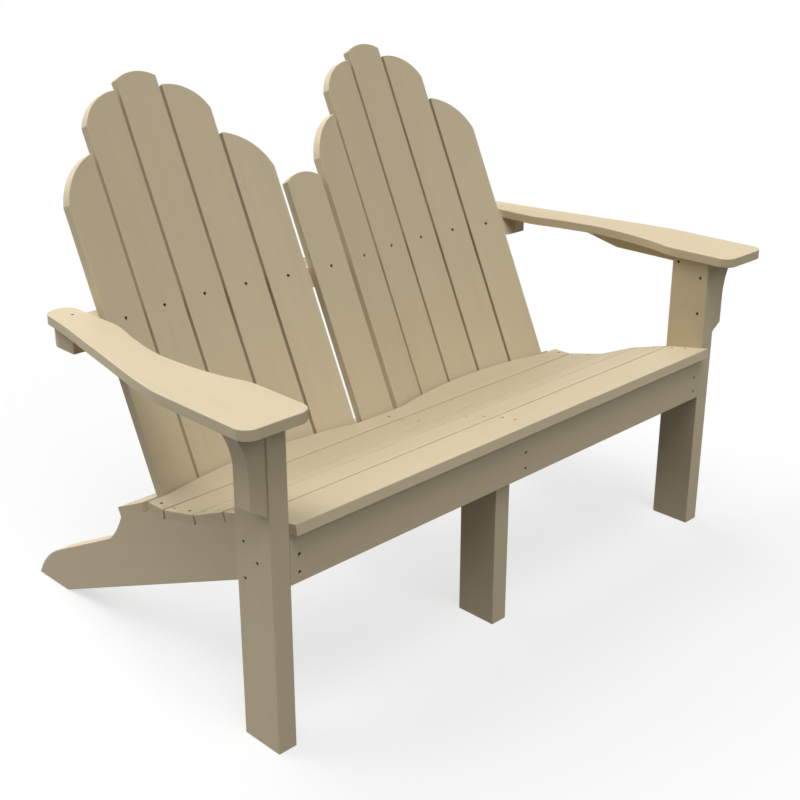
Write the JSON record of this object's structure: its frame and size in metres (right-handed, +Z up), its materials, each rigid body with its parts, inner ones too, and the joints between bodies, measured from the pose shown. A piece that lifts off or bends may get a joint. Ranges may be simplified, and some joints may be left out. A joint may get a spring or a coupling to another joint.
{
  "type": "adirondack loveseat",
  "caption": "Adirondack loveseat of plain boards: curved fan backs with scalloped tops, a dished slatted seat, wide tapered arms and sloping rear rails.",
  "frame": {"origin": "centre of the bounding box, on the floor that the feet stand on", "axes": "+X to the right of someone who faces the bench, +Y from its front to its back, +Z up"},
  "size_m": [1.3878, 0.882, 1.0083],
  "materials": {
    "lumber": "matte tan recycled plastic lumber with a faint lengthwise grain and eased edges",
    "screws": "dull stainless screws, sunk below the boards"
  },
  "bodies": {
    "root": {"front_leg_left": "lumber", "front_leg_right": "lumber", "centre_leg": "lumber", "front_apron": "lumber", "side_rail_left": "lumber", "centre_rail": "lumber", "side_rail_right": "lumber", "seat_slat_1": "lumber", "seat_slat_2": "lumber", "seat_slat_3": "lumber", "seat_slat_4": "lumber", "seat_slat_5": "lumber", "back_slat_left_1": "lumber", "back_slat_left_2": "lumber", "back_slat_left_3": "lumber", "back_slat_left_4": "lumber", "back_slat_left_5": "lumber", "back_slat_middle": "lumber", "back_slat_right_1": "lumber", "back_slat_right_2": "lumber", "back_slat_right_3": "lumber", "back_slat_right_4": "lumber", "back_slat_right_5": "lumber", "lower_back_rail": "lumber", "upper_back_rail": "lumber", "arm_left": "lumber", "arm_right": "lumber", "arm_bracket_left": "lumber", "arm_bracket_right": "lumber", "arm_support_left": "lumber", "arm_support_right": "lumber", "apron_screws": "screws", "leg_screws": "screws", "centre_leg_screws": "screws", "bracket_screws": "screws", "support_screws": "screws", "arm_support_screws": "screws", "arm_screws": "screws", "seat_screws": "screws", "upper_back_screws": "screws", "lower_back_screws": "screws", "lower_rail_screws": "screws"}
  },
  "joints": []
}
